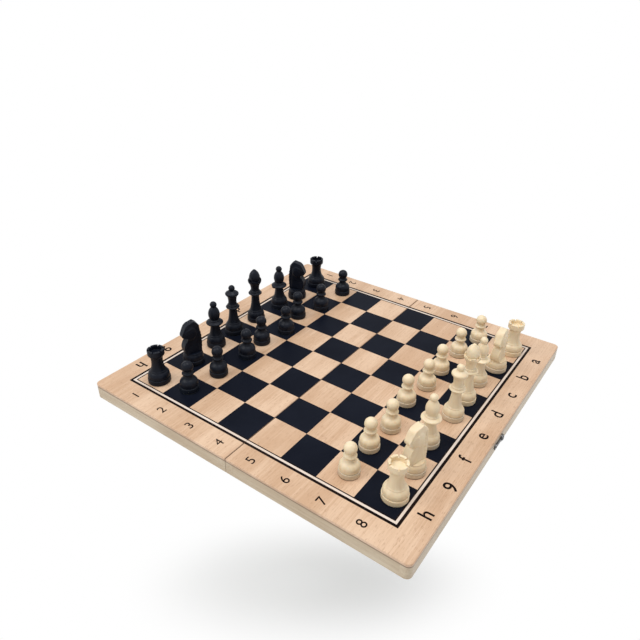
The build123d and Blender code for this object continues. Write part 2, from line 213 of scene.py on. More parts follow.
class Surface(Graph):
    """The node tree of one material, with a Principled shader on its output."""

    def __init__(self, name: str, **constants: float | Sequence[float]) -> None:
        """Starts a material.

        Args:
            name: The material's name.
            constants: Sockets of the shader that are the same all over, with _ for a space.
        """
        self.material = bpy.data.materials.new(name)
        self.material.use_nodes = True
        super().__init__(self.material.node_tree)
        self.shader = self.node("ShaderNodeBsdfPrincipled")
        self.node("ShaderNodeOutputMaterial", inputs={"Surface": self.shader.outputs[0]})
        for key, constant in constants.items():
            self.shader.inputs[key.replace("_", " ")].default_value = constant

    def along(self, axis: int) -> Value:
        """One coordinate of the point on the piece: 0 for X, 1 for Y and 2 for Z."""
        return Value(self, self.node("ShaderNodeSeparateXYZ", inputs={0: self.place()}).outputs[axis])

    def noise(self, stretch: Sequence[float], detail: float = 3.0, wander: float = 0.0) -> Value:
        """Smooth noise from 0 to 1, mostly near a half.

        Args:
            stretch: How many waves there are to a metre along each axis.
            detail: How many finer octaves are added.
            wander: How much the noise bends itself.

        Returns:
            The noise as a value.
        """
        sockets = {"Vector": self.place(stretch), "Scale": 1.0, "Detail": detail, "Distortion": wander}
        return Value(self, self.node("ShaderNodeTexNoise", inputs=sockets).outputs[0])

    def cells(self, stretch: Sequence[float]) -> Value:
        """Distance to the nearest of scattered points, from 0 upwards."""
        sockets = {"Vector": self.place(stretch), "Scale": 1.0}
        return Value(self, self.node("ShaderNodeTexVoronoi", inputs=sockets).outputs[0])

    def mix(
        self,
        share: Value,
        first: "Colour | bpy.types.NodeSocket",
        second: "Colour | bpy.types.NodeSocket",
    ) -> bpy.types.NodeSocket:
        """Goes from the first colour to the second as the share goes from 0 to 1."""
        node = self.node("ShaderNodeMix", {"data_type": "RGBA"}, {0: share, 6: first, 7: second})
        return node.outputs[2]

    def colour(self, source: bpy.types.NodeSocket) -> None:
        """Links the base colour."""
        self.tree.links.new(source, self.shader.inputs["Base Color"])

    def roughness(self, source: Value) -> None:
        """Links the roughness."""
        self.tree.links.new(source.socket, self.shader.inputs["Roughness"])

    def relief(self, height: Value, depth: float) -> None:
        """Raises the surface by a height from 0 to 1, scaled to a depth in metres."""
        node = self.node("ShaderNodeBump", inputs={"Height": height, "Distance": depth, "Strength": 1.0})
        self.tree.links.new(node.outputs[0], self.shader.inputs["Normal"])


class Grain(Enum):
    """Which way the grain of a piece of wood runs. The value is the axis's number."""

    ALONG_X = 0
    ALONG_Y = 1

    def stretch(self, along: float, across: float) -> tuple[float, float, float]:
        """Waves to a metre on each axis, from those along the grain and those across it."""
        waves = [across, across, across]
        waves[self.value] = along
        return (waves[0], waves[1], waves[2])


@dataclass(frozen=True)
class Wood:
    """Lacquered wood: wide soft bands, fine streaks, and short dark flecks along the grain."""

    name: str
    grain: Grain
    pale: Colour
    deep: Colour
    fleck: Colour
    fleck_share: float = 0.5
    band_waves: float = 45.0
    streak_waves: float = 900.0
    fleck_waves: float = 2400.0
    # The colour that darkens the panel at the seam and the rails just under the panel.
    seam_and_joint_dark: Colour = field(default_factory=lambda: paint(96, 60, 38))
    darker_at_seam: bool = False
    joint_z: float | None = None

    def build(self) -> bpy.types.Material:
        """Makes the material."""
        graph = Surface(self.name, Roughness=0.42, Coat_Weight=0.12, Coat_Roughness=0.3)
        bands = graph.noise(self.grain.stretch(3.0, self.band_waves), detail=2, wander=0.5)
        streaks = graph.noise(self.grain.stretch(18.0, self.streak_waves), detail=3)
        blotches = graph.noise(self.grain.stretch(22.0, 60.0), detail=2)
        flecks = graph.noise(self.grain.stretch(240.0, self.fleck_waves), detail=1).rise(0.60, 0.72)
        tone = bands * 0.5 + streaks * 0.3 + blotches * 0.35
        ground = graph.mix(tone.rise(0.43, 0.70), self.pale, self.deep)
        surface = graph.mix(flecks * self.fleck_share, ground, self.fleck)
        # The panel is darker towards the seam between the halves.
        if self.darker_at_seam:
            seam_darkening = abs(graph.along(0)).rise(0.9 * MM, 0.2 * MM)
            surface = graph.mix(seam_darkening * 0.6, surface, self.seam_and_joint_dark)
        # A darker band along the top of each rail, just under the panel: a dark joint line, widened with
        # painted shade.
        if self.joint_z is not None:
            joint_line_and_shade = graph.along(2).rise(self.joint_z - 1.3 * MM, self.joint_z - 0.5 * MM)
            surface = graph.mix(joint_line_and_shade * 0.7, surface, self.seam_and_joint_dark)
        graph.colour(surface)
        graph.roughness(0.36 + streaks * 0.16 + flecks * 0.1)
        graph.relief(streaks * 0.6 - flecks * 0.5, 0.03 * MM)
        return graph.material


@dataclass(frozen=True)
class PrintedInk:
    """Screen-printed ink, through which the grain of the panel just shows."""

    name: str
    body: Colour
    worn: Colour
    roughness: float = 0.36
    shine: float = 0.04
    streak_waves: float = 900.0
    rub_waves: float = 1500.0

    def build(self) -> bpy.types.Material:
        """Makes the material."""
        graph = Surface(self.name, Specular_IOR_Level=self.shine)
        streaks = graph.noise(Grain.ALONG_Y.stretch(18.0, self.streak_waves), detail=3)
        clouds = graph.noise((30, 30, 30), detail=3)
        rubbed = graph.noise(Grain.ALONG_Y.stretch(160.0, self.rub_waves), detail=1).rise(0.62, 0.80)
        graph.colour(graph.mix(clouds.rise(0.35, 0.7) * 0.5 + rubbed * 0.4, self.body, self.worn))
        graph.roughness(self.roughness + clouds * 0.12 + streaks * 0.08)
        graph.relief(streaks, 0.02 * MM)
        return graph.material


@dataclass(frozen=True)
class MouldedPlastic:
    """Satin injection-moulded plastic, with a little flow mottle and a fine skin."""

    name: str
    body: Colour
    shade: Colour
    low_roughness: float
    glow: float = 0.0
    shine: float = 0.5
    flow_waves: tuple[float, float, float] = (120.0, 120.0, 60.0)
    skin_waves: float = 1300.0

    def build(self) -> bpy.types.Material:
        """Makes the material."""
        graph = Surface(
            self.name,
            Subsurface_Weight=self.glow,
            Subsurface_Radius=(0.0016, 0.0011, 0.0006),
            Subsurface_Scale=1.0,
            Specular_IOR_Level=self.shine,
        )
        flow = graph.noise(self.flow_waves, detail=2, wander=0.8)
        skin = graph.noise([self.skin_waves] * 3, detail=2)
        graph.colour(graph.mix(flow.rise(0.35, 0.72), self.body, self.shade))
        graph.roughness(self.low_roughness + flow * 0.1 + skin * 0.06)
        graph.relief(skin * 0.5 + flow * 0.5, 0.02 * MM)
        return graph.material


@dataclass(frozen=True)
class Felt:
    """Thin pressed felt: matted fibres, soft pills and a dusty sheen."""

    name: str
    body: Colour
    tip: Colour
    fibre_waves: float = 2600.0
    pill_waves: float = 900.0
    wear_waves: float = 25.0

    def build(self) -> bpy.types.Material:
        """Makes the material."""
        graph = Surface(self.name, Roughness=0.95, Sheen_Weight=0.12, Sheen_Roughness=0.5)
        fibres = graph.noise([self.fibre_waves] * 3, detail=4, wander=1.5)
        pills = graph.cells([self.pill_waves] * 3)
        worn = graph.noise([self.wear_waves] * 3, detail=3)
        graph.colour(graph.mix(fibres.rise(0.35, 0.75) * 0.7 + worn * 0.25, self.body, self.tip))
        graph.roughness(0.88 + fibres * 0.12)
        graph.relief(fibres * 0.7 + pills * 0.5, 0.12 * MM)
        return graph.material


@dataclass(frozen=True)
class Metal:
    """Plated or rolled metal with fine scratches and a few duller patches."""

    name: str
    bright: Colour
    dull: Colour
    low_roughness: float
    scratch_waves: float = 5200.0
    patch_waves: float = 380.0

    def build(self) -> bpy.types.Material:
        """Makes the material."""
        graph = Surface(self.name, Metallic=1.0)
        scratches = graph.noise(Grain.ALONG_Y.stretch(60.0, self.scratch_waves), detail=2)
        patches = graph.noise([self.patch_waves] * 3, detail=3)
        graph.colour(graph.mix(patches.rise(0.42, 0.72), self.bright, self.dull))
        graph.roughness(self.low_roughness + patches * 0.16 + scratches * 0.1)
        graph.relief(scratches, 0.01 * MM)
        return graph.material


@dataclass(frozen=True)
class Finishes:
    """Every finish of the set, built once."""

    panel: bpy.types.Material
    rail_x: bpy.types.Material
    rail_y: bpy.types.Material
    ink: bpy.types.Material
    line_ink: bpy.types.Material
    pale_ink: bpy.types.Material
    felt: bpy.types.Material
    pad_felt: bpy.types.Material
    brass: bpy.types.Material
    steel: bpy.types.Material
    dark_steel: bpy.types.Material

    @classmethod
    def build(cls) -> "Finishes":
        """Builds all of them."""
        beech = {"pale": paint(222, 190, 160), "deep": paint(198, 161, 128), "fleck": paint(156, 114, 84)}
        pine = {"pale": paint(210, 194, 168), "deep": paint(186, 164, 134), "fleck": paint(146, 122, 96)}
        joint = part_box("outer_rail_a")[1].z
        return cls(
            panel=Wood("beech_panel", Grain.ALONG_Y, **beech, darker_at_seam=True).build(),
            rail_x=Wood("rail_along_x", Grain.ALONG_X, **pine, fleck_share=0.3, joint_z=joint).build(),
            rail_y=Wood("rail_along_y", Grain.ALONG_Y, **pine, fleck_share=0.3, joint_z=joint).build(),
            ink=PrintedInk("square_ink", paint(12, 16, 27), paint(24, 28, 39)).build(),
            line_ink=PrintedInk("line_ink", paint(16, 9, 8), paint(38, 25, 21)).build(),
            pale_ink=PrintedInk("pale_ink", paint(228, 214, 202), paint(214, 192, 172)).build(),
            felt=Felt("tray_felt", paint(12, 54, 32), paint(30, 82, 54)).build(),
            pad_felt=Felt("pad_felt", paint(38, 40, 38), paint(74, 78, 74)).build(),
            brass=Metal("plated_brass", paint(214, 178, 104), paint(176, 138, 74), 0.24).build(),
            steel=Metal("rolled_steel", paint(180, 182, 184), paint(140, 142, 146), 0.3).build(),
            dark_steel=Metal("dark_nickel", paint(112, 112, 114), paint(74, 72, 72), 0.26).build(),
        )


def mesh_piece(name: str, mesh: bpy.types.Mesh, materials: Sequence[bpy.types.Material]) -> bpy.types.Object:
    """Makes an object of a mesh and gives it its materials.

    Args:
        name: The piece's name.
        mesh: Its mesh.
        materials: Its materials, in the order of the mesh's material numbers.

    Returns:
        The new object.
    """
    for material in materials:
        mesh.materials.append(material)
    piece = bpy.data.objects.new(name, mesh)
    bpy.context.scene.collection.objects.link(piece)
    return piece


def settled_mesh(piece: bpy.types.Object, name: str) -> bpy.types.Mesh:
    """Applies a piece's modifiers, removes the piece, and returns the result as a mesh."""
    bpy.context.view_layer.update()
    evaluated = piece.evaluated_get(bpy.context.evaluated_depsgraph_get())
    mesh = bpy.data.meshes.new_from_object(evaluated)
    mesh.name = name
    bpy.data.objects.remove(piece)
    return mesh


def slab(outline: Sequence[Point], bottom: float, top: float, builder: bmesh.types.BMesh) -> None:
    """Adds a flat slab to a mesh under construction.

    Args:
        outline: Its outline, anticlockwise from above.
        bottom: The height of its underside.
        top: The height of its upper side.
        builder: The mesh under construction.
    """
    low = [builder.verts.new((x, y, bottom)) for x, y in outline]
    high = [builder.verts.new((x, y, top)) for x, y in outline]
    builder.faces.new(high)
    builder.faces.new(list(reversed(low)))
    for index in range(len(outline)):
        following = (index + 1) % len(outline)
        builder.faces.new((low[index], low[following], high[following], high[index]))


def built(name: str, draw: Callable[[bmesh.types.BMesh], None]) -> bpy.types.Mesh:
    """Makes a mesh with a function that draws it."""
    builder = bmesh.new()
    draw(builder)
    bmesh.ops.recalc_face_normals(builder, faces=builder.faces)
    mesh = bpy.data.meshes.new(name)
    builder.to_mesh(mesh)
    builder.free()
    return mesh


def dress(node: str, material: bpy.types.Material) -> bpy.types.Object:
    """Gives a CAD node its material, and returns the node's object."""
    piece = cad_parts[node]
    piece.data.materials.clear()
    piece.data.materials.append(material)
    return piece


def soften(piece: bpy.types.Object, width: float, segments: int = 2, sharper_than: float = 40.0) -> None:
    """Breaks the edges of a piece that turn by more than an angle, in degrees, with a small bevel."""
    bevel = piece.modifiers.new("eased_edges", "BEVEL")
    bevel.width = width
    bevel.segments = segments
    bevel.limit_method = "ANGLE"
    bevel.angle_limit = math.radians(sharper_than)
    bevel.harden_normals = False


class Half(Enum):
    """The two halves of the board. The value is the sign of X on that half."""

    A = -1
    B = 1

    @property
    def letter(self) -> str:
        """The half's letter in the names of its nodes."""
        return self.name.lower()

    @property
    def body(self) -> str:
        """The body that the half's pieces ride on."""
        return f"half_{self.letter}"


@dataclass
class Board:
    """The two halves: wood, printed squares, border lines, letters, numbers and felt."""

    finishes: Finishes
    square: float = 30 * MM
    squares_a_side: int = 8
    seam: float = 0.2 * MM
    ink_thickness: float = 0.04 * MM
    thin_line: tuple[float, float] = (0.0, 0.9 * MM)
    thick_line: tuple[float, float] = (2.7 * MM, 4.8 * MM)
    digit_height: float = 7.5 * MM
    letter_height: float = 9.8 * MM
    letter_weight: float = 0.18 * MM
    digit_weight: float = 0.06 * MM
    glyph_offset: float = 14.6 * MM
    tail_drop: float = 0.2
    capital_share: float = 0.7
    digit_middle: float = 0.34
    letter_middle: float = 0.27
    files: str = "hgfedcba"
    edge_ease: float = 0.25 * MM
    felt_step: float = 2.5 * MM
    felt_nap: float = 0.06 * MM
    felt_seed: int = 7

    @property
    def reach(self) -> float:
        """Half the side of the printed squares."""
        return self.square * self.squares_a_side / 2

    @property
    def face_z(self) -> float:
        """The height of the playing face."""
        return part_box("playing_panel_a")[1].z

    def _ranks(self, half: Half) -> range:
        """The rows of squares on a half, counted from 0."""
        first = self.squares_a_side // 2 if half is Half.B else 0
        return range(first, first + self.squares_a_side // 2)

    def build(self) -> None:
        """Dresses the CAD nodes of both halves and adds the print and the felt."""
        for half in Half:
            self._dress_wood(half)
            self._print_squares(half)
            self._print_lines(half)
            self._print_glyphs(half)
            self._lay_felt(half)
            log.info("half %s is dressed", half.letter)

    def _dress_wood(self, half: Half) -> None:
        """Gives the panel, the rails and the hidden steel sheet of a half their finishes."""
        dressed = {
            "playing_panel": self.finishes.panel,
            "outer_rail": self.finishes.rail_y,
            "hinge_rail": self.finishes.rail_y,
            "near_rail": self.finishes.rail_x,
            "far_rail": self.finishes.rail_x,
            "steel_sheet": self.finishes.steel,
        }
        for node, material in dressed.items():
            piece = dress(f"{node}_{half.letter}", material)
            if node != "steel_sheet":
                soften(piece, self.edge_ease)

    def _add_print(self, name: str, half: Half, mesh: bpy.types.Mesh, ink: bpy.types.Material) -> None:
        """Puts a printed layer on a half."""
        piece = mesh_piece(f"{name}_{half.letter}", mesh, [ink])
        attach(piece, half.body)

    def _print_squares(self, half: Half) -> None:
        """Prints the dark squares of a half."""
        low, high = self.face_z, self.face_z + self.ink_thickness

        def draw(builder: bmesh.types.BMesh) -> None:
            """Draws every dark square as a thin slab."""
            for rank in self._ranks(half):
                for file in range(self.squares_a_side):
                    if (rank + file) % 2 == 0:
                        continue
                    x0 = rank * self.square - self.reach
                    y0 = file * self.square - self.reach
                    x1, y1 = x0 + self.square, y0 + self.square
                    if half is Half.A:
                        x1 = min(x1, -self.seam)
                    else:
                        x0 = max(x0, self.seam)
                    slab([(x0, y0), (x1, y0), (x1, y1), (x0, y1)], low, high, builder)

        self._add_print("printed_squares", half, built("printed_squares", draw), self.finishes.ink)

    def _frame_line(self, half: Half, inner: float, outer: float, builder: bmesh.types.BMesh) -> None:
        """Draws a line round the squares of a half as one slab that is open at the seam.

        Args:
            half: The half of the board.
            inner: How far from the squares the line starts.
            outer: How far from the squares it ends.
            builder: The mesh under construction.
        """
        start, near, far = self.seam, self.reach + inner, self.reach + outer
        outward = [(start, -far), (far, -far), (far, far), (start, far)]
        inward = [(start, near), (near, near), (near, -near), (start, -near)]
        outline = [(half.value * x, y) for x, y in outward + inward][:: half.value]
        slab(outline, self.face_z, self.face_z + self.ink_thickness, builder)

    def _print_lines(self, half: Half) -> None:
        """Prints the thin and the thick dark line round the squares, and the pale one between them."""

        def dark(builder: bmesh.types.BMesh) -> None:
            """Draws both dark lines."""
            self._frame_line(half, *self.thin_line, builder)
            self._frame_line(half, *self.thick_line, builder)

        def pale(builder: bmesh.types.BMesh) -> None:
            """Draws the pale line."""
            self._frame_line(half, self.thin_line[1], self.thick_line[0], builder)

        self._add_print("border_lines", half, built("border_lines", dark), self.finishes.line_ink)
        self._add_print("pale_line", half, built("pale_line", pale), self.finishes.pale_ink)

    def _weight(self, text: str) -> float:
        """How far a glyph's outline is moved out. The 4 keeps its own, so that its middle stays open."""
        if text == "4":
            return 0.0
        return self.digit_weight if text.isdigit() else self.letter_weight

    def _glyph(self, text: str, height: float, x: float, y: float, turn: float) -> bpy.types.Mesh:
        """Makes the mesh of one printed letter or number. A g is drawn as a lowered 9, with an open tail.

        Args:
            text: The letter or number.
            height: Its type size.
            x: Where its middle is along X.
            y: Where its middle is along Y.
            turn: How far it is turned, anticlockwise from above, in radians.

        Returns:
            The mesh, in place.
        """
        drawn, drop = ("9", self.tail_drop * height) if text == "g" else (text, 0.0)
        curve = bpy.data.curves.new(f"glyph_{text}", "FONT")
        curve.body = drawn
        curve.size = height
        curve.extrude = self.ink_thickness / 2
        curve.offset = self._weight(text)
        curve.resolution_u = 6
        maker = bpy.data.objects.new(f"glyph_{text}", curve)
        bpy.context.scene.collection.objects.link(maker)
        mesh = settled_mesh(maker, f"glyph_{text}")
        corners = np.array([vertex.co for vertex in mesh.vertices])
        middle = (corners.min(0) + corners.max(0)) / 2
        baseline_middle = Vector((middle[0], self._optical_middle(text, height) + drop, 0))
        place = Vector((x, y, self.face_z + self.ink_thickness / 2))
        turned = Matrix.Translation(place) @ Matrix.Rotation(turn, 4, "Z")
        mesh.transform(turned @ Matrix.Translation(-baseline_middle))
        return mesh

    def _optical_middle(self, text: str, height: float) -> float:
        """The height above the baseline that is set on the border's middle line."""
        return height * (self.digit_middle if text.isdigit() else self.letter_middle)

    def _print_glyphs(self, half: Half) -> None:
        """Prints the numbers along the two long borders and the letters along the outer one."""
        side = half.value
        line = self.reach + self.glyph_offset
        outward = math.radians(90)
        digit_size = self.digit_height / self.capital_share
        letter_size = self.letter_height / self.capital_share
        meshes = []
        for rank in self._ranks(half):
            x = (rank + 0.5) * self.square - self.reach
            meshes.append(self._glyph(str(rank + 1), digit_size, x, -line, outward))
            meshes.append(self._glyph(str(rank + 1), digit_size, x, line, -outward))
        for index, letter in enumerate(self.files):
            y = (index + 0.5) * self.square - self.reach
            meshes.append(self._glyph(letter, letter_size, side * line, y, side * outward))

        def draw(builder: bmesh.types.BMesh) -> None:
            """Joins the glyphs."""
            for mesh in meshes:
                builder.from_mesh(mesh)

        self._add_print("border_glyphs", half, built("border_glyphs", draw), self.finishes.line_ink)
        for mesh in meshes:
            bpy.data.meshes.remove(mesh)

    def _lay_felt(self, half: Half) -> None:
        """Replaces the plain lining of a tray with a sheet of felt that is a little uneven."""
        node = f"tray_lining_{half.letter}"
        low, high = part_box(node)
        width, length = high.x - low.x, high.y - low.y
        across = round(width / self.felt_step)
        down = round(length / self.felt_step)
        generator = np.random.default_rng(self.felt_seed)
        nap = self.felt_nap

        def draw(builder: bmesh.types.BMesh) -> None:
            """Draws the felt as a grid with a rough lower face and a flat glued upper one."""
            rows = []
            for z, rough in ((low.z + nap, nap), (high.z, 0.0)):
                rows.append([
                    [
                        builder.verts.new((
                            low.x + width * i / across,
                            low.y + length * j / down,
                            z - rough * generator.random(),
                        ))
                        for j in range(down + 1)
                    ]
                    for i in range(across + 1)
                ])
            for grid in rows:
                for i in range(across):
                    for j in range(down):
                        builder.faces.new((grid[i][j], grid[i + 1][j], grid[i + 1][j + 1], grid[i][j + 1]))
            bottom, top = rows
            for i in range(across):
                for j in (0, down):
                    builder.faces.new((bottom[i][j], bottom[i + 1][j], top[i + 1][j], top[i][j]))
            for j in range(down):
                for i in (0, across):
                    builder.faces.new((bottom[i][j], bottom[i][j + 1], top[i][j + 1], top[i][j]))

        mesh = built("felt_lining", draw)
        mesh.shade_smooth()
        mesh.set_sharp_from_angle(angle=math.radians(50))
        piece = mesh_piece(f"felt_lining_{half.letter}", mesh, [self.finishes.felt])
        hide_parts(node)
        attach(piece, half.body)


@dataclass
class Hardware:
    """The hinges and the clasp, which keep their CAD shapes."""

    finishes: Finishes
    edge_ease: float = 0.12 * MM

    def build(self) -> None:
        """Gives each metal node its finish and eased edges."""
        for node in ("hinge_leaves_a", "hinge_leaves_b", "hinge_pins", "hinge_screws_a", "hinge_screws_b"):
            soften(dress(node, self.finishes.brass), self.edge_ease)
        for node in ("latch_hook", "latch_screw", "catch_pin"):
            soften(dress(node, self.finishes.dark_steel), self.edge_ease)
        log.info("hinges and clasp are dressed")


Step = Point | tuple[Point, Point]


@dataclass(frozen=True)
class Turning:
    """The side of a turned body, in millimetres. A step is a point, or an arc's middle and end."""

    start: Point
    steps: tuple[Step, ...]
    spacing: float = 0.12
    rounding: float = 0.22
    tolerance: float = 0.012

    def _arc(self, start: Point, passing: Point, end: Point) -> list[Point]:
        """Points on the arc through three points, without its start."""
        a, b, c = (complex(*p) for p in (start, passing, end))
        w = (c - a) / (b - a)
        if abs(w.imag) < 1e-9:
            return [end]
        centre = (b - a) * (w - abs(w) ** 2) / (2j * w.imag) + a
        radius = abs(a - centre)
        first = math.atan2((a - centre).imag, (a - centre).real)
        turn_b = math.atan2((b - centre).imag, (b - centre).real) - first
        turn_c = math.atan2((c - centre).imag, (c - centre).real) - first
        turn_b %= math.tau
        turn_c %= math.tau
        if turn_b > turn_c:
            turn_c -= math.tau
        count = max(4, round(abs(turn_c) * radius / self.spacing))
        angles = [first + turn_c * (i + 1) / count for i in range(count)]
        return [(centre.real + radius * math.cos(t), centre.imag + radius * math.sin(t)) for t in angles]

    def _dense(self) -> np.ndarray:
        """The side as close points, with its corners still sharp."""
        points = [self.start]
        for step in self.steps:
            if isinstance(step[0], tuple):
                points += self._arc(points[-1], step[0], step[1])
            else:
                points.append(step)
        corners = np.array(points, float)
        lengths = np.hypot(*np.diff(corners, axis=0).T)
        travelled = np.concatenate([[0], np.cumsum(lengths)])
        wanted = np.linspace(0, travelled[-1], max(8, round(travelled[-1] / self.spacing)))
        return np.column_stack([np.interp(wanted, travelled, corners[:, k]) for k in (0, 1)])

    def _rounded(self, points: np.ndarray) -> np.ndarray:
        """Rounds the corners by averaging along the side. Both ends stay put."""
        reach = max(1, round(3 * self.rounding / self.spacing))
        offsets = np.arange(-reach, reach + 1)
        weights = np.exp(-0.5 * (offsets * self.spacing / self.rounding) ** 2)
        weights /= weights.sum()
        before = 2 * points[0] - points[1 : reach + 1][::-1]
        after = 2 * points[-1] - points[-reach - 1 : -1][::-1]
        padded = np.vstack([before, points, after])
        return np.column_stack([np.convolve(padded[:, k], weights, "valid") for k in (0, 1)])

    def _thinned(self, points: np.ndarray) -> np.ndarray:
        """Leaves out points that a straight run passes within the tolerance."""
        keep = {0, len(points) - 1}
        spans = [(0, len(points) - 1)]
        while spans:
            low, high = spans.pop()
            if high - low < 2:
                continue
            chord = points[high] - points[low]
            inner = points[low + 1 : high] - points[low]
            length = max(float(np.hypot(*chord)), 1e-9)
            off = np.abs(chord[0] * inner[:, 1] - chord[1] * inner[:, 0]) / length
            worst = int(off.argmax())
            if off[worst] > self.tolerance or high - low > 12:
                middle = low + 1 + worst if off[worst] > self.tolerance else (low + high) // 2
                keep.add(middle)
                spans += [(low, middle), (middle, high)]
        return points[sorted(keep)]

    def outline(self) -> list[Point]:
        """The finished points, in order."""
        return [(float(x), float(z)) for x, z in self._thinned(self._rounded(self._dense()))]

    def draw(self, builder: bmesh.types.BMesh, around: int, material: int) -> None:
        """Turns the side about Z into a mesh under construction.

        Args:
            builder: The mesh under construction, in metres.
            around: How many faces go round.
            material: The material number of its faces.
        """
        rings = []
        for radius, height in self.outline():
            if radius < 0.02:
                rings.append([builder.verts.new((0, 0, height * MM))])
                continue
            turns = [math.tau * k / around for k in range(around)]
            rings.append([
                builder.verts.new((radius * MM * math.cos(t), radius * MM * math.sin(t), height * MM))
                for t in turns
            ])
        for low, high in zip(rings, rings[1:]):
            for k in range(around):
                n = (k + 1) % around
                corners = [low[k % len(low)], low[n % len(low)], high[n % len(high)], high[k % len(high)]]
                face = builder.faces.new(list(dict.fromkeys(corners)))
                face.material_index = material
                face.smooth = True


class Kind(Enum):
    """The kinds of men."""

    PAWN = "pawn"
    ROOK = "rook"
    KNIGHT = "knight"
    BISHOP = "bishop"
    QUEEN = "queen"
    KING = "king"


def ball(radius: float, centre: float, neck: float) -> tuple[Step, ...]:
    """Steps up to a ball and over it to the axis.

    Args:
        radius: The ball's radius.
        centre: The height of its centre.
        neck: The radius at which the neck meets it.

    Returns:
        The steps.
    """
    meets = centre - math.sqrt(radius**2 - neck**2)
    return ((neck, meets), ((radius, centre), (0.0, centre + radius)))


@dataclass
class Men:
    """The thirty-two men: turned bodies on magnetic feet, and the knights' carved heads."""

    finishes: Finishes
    around: int = 72
    shoulder_z: float = 5.0
    shoulder_inset: float = 0.4
    pawn_base: float = 7.7
    wide_base: float = 9.2
    tall_base: float = 8.4
    cap_top: float = 4.5
    pad_top: float = 0.4
    rook_top: float = 30.6
    rook_well: float = 4.9
    rook_well_depth: float = 3.6
    notches: int = 6
    notch_width: float = 1.1
    notch_depth: float = 1.5
    notch_span: tuple[float, float] = (3.0, 9.0)
    crown_top: float = 43.5
    scallops: int = 6
    scallop_radius: float = 1.7
    scallop_span: tuple[float, float] = (4.9, 8.0)
    materials_a_man: int = 3
    muzzle_band: tuple[float, float] = (26 * MM, 30 * MM)
    muzzle_width: float = 9.5 * MM
    muzzle_depth: float = 0.6 * MM
    patterns: dict[Kind, bpy.types.Mesh] = field(default_factory=dict)

    def build(self) -> None:
        """Makes each kind of man once, and sets out all the men in place of their CAD nodes."""
        for kind in Kind:
            self.patterns[kind] = self._pattern(kind)
        plastics = {
            "white": (
                MouldedPlastic("ivory_plastic", paint(237, 219, 186), paint(229, 206, 169), 0.32, 0.12),
                MouldedPlastic("ivory_cap", paint(216, 200, 175), paint(204, 186, 158), 0.38, 0.1),
            ),
            "black": (
                MouldedPlastic("black_plastic", paint(9, 14, 25), paint(15, 21, 33), 0.34, shine=0.16),
                MouldedPlastic("black_cap", paint(12, 17, 27), paint(20, 26, 37), 0.40, shine=0.16),
            ),
        }
        dressed = {
            colour: [*(plastic.build() for plastic in pair), self.finishes.pad_felt]
            for colour, pair in plastics.items()
        }
        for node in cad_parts:
            colour, _, rest = node.partition("_")
            if colour in dressed:
                self._stand(node, Kind(rest.split("_")[0]), dressed[colour])
        for mesh in self.patterns.values():
            bpy.data.meshes.remove(mesh)
        log.info("the men stand on their squares")

    def _stand(self, node: str, kind: Kind, materials: Sequence[bpy.types.Material]) -> None:
        """Puts one man where its CAD node stands.

        Args:
            node: The CAD node that it replaces.
            kind: Which man it is.
            materials: Those of its body, its base cap and its felt pad.
        """
        foot = self._foot_centre(node)
        piece = mesh_piece(f"{node}_man", self.patterns[kind].copy(), materials)
        piece.location = foot
        if kind is Kind.KNIGHT:
            piece.rotation_euler.z = self._heading(node, foot)
        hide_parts(node)
        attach(piece, node)

    def _foot_centre(self, node: str) -> Vector:
        """The middle of the felt pad under a CAD man."""
        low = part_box(node)[0]
        pad = [v.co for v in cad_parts[node].data.vertices if v.co.z < low.z + 0.05 * MM]
        xs, ys = [p.x for p in pad], [p.y for p in pad]
        return Vector(((min(xs) + max(xs)) / 2, (min(ys) + max(ys)) / 2, low.z))

    def _heading(self, node: str, foot: Vector) -> float:
        """Which way a CAD knight faces: its muzzle reaches furthest from the axis at its height."""
        low, high = (foot.z + height for height in self.muzzle_band)
        band = [(v.co - foot).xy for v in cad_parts[node].data.vertices if low < v.co.z < high]
        front = max(band, key=lambda p: p.length)
        muzzle = [p for p in band if (p - front).length < self.muzzle_width]
        muzzle = [p for p in muzzle if p.length > front.length - self.muzzle_depth]
        middle = sum(muzzle, Vector((0, 0)))
        return math.atan2(middle.y, middle.x)

    def _pattern(self, kind: Kind) -> bpy.types.Mesh:
        """Makes the mesh of one kind of man, standing on the origin."""
        base = self._base(kind)

        def draw(builder: bmesh.types.BMesh) -> None:
            """Draws the body, the cap and the pad."""
            self._body(kind).draw(builder, self.around, 0)
            self._cap(base).draw(builder, self.around, 1)
            self._pad(base).draw(builder, self.around, 2)

        mesh = built(f"{kind.value}_pattern", draw)
        if kind is Kind.ROOK:
            mesh = self._cut(mesh, self._rook_notches)
        if kind is Kind.KING:
            mesh = self._cut(mesh, self._crown_scallops)
        if kind is Kind.KNIGHT:
            mesh = KnightHead().join(mesh)
        return mesh

    def _base(self, kind: Kind) -> float:
        """The radius of a man's base cap."""
        if kind is Kind.PAWN:
            return self.pawn_base
        return self.wide_base if kind in (Kind.ROOK, Kind.KNIGHT) else self.tall_base

    def _cap(self, base: float) -> Turning:
        """The base cap, with the shoulder that shows as a groove."""
        low, high = self.pad_top, self.cap_top
        return Turning(
            (0.0, low),
            (
                (base - 0.5, low),
                ((base - 0.12, low + 0.15), (base, low + 0.6)),
                (base, high - 0.6),
                ((base - 0.12, high - 0.15), (base - 0.5, high)),
                (base - 0.9, high),
                (base - 0.9, self.shoulder_z),
                (0.0, self.shoulder_z),
            ),
            rounding=0.1,
        )

    def _pad(self, base: float) -> Turning:
        """The felt pad under the cap."""
        edge = base - 0.4
        return Turning((0.0, 0.0), ((edge, 0.0), (edge, self.pad_top), (0.0, self.pad_top)), rounding=0.1)

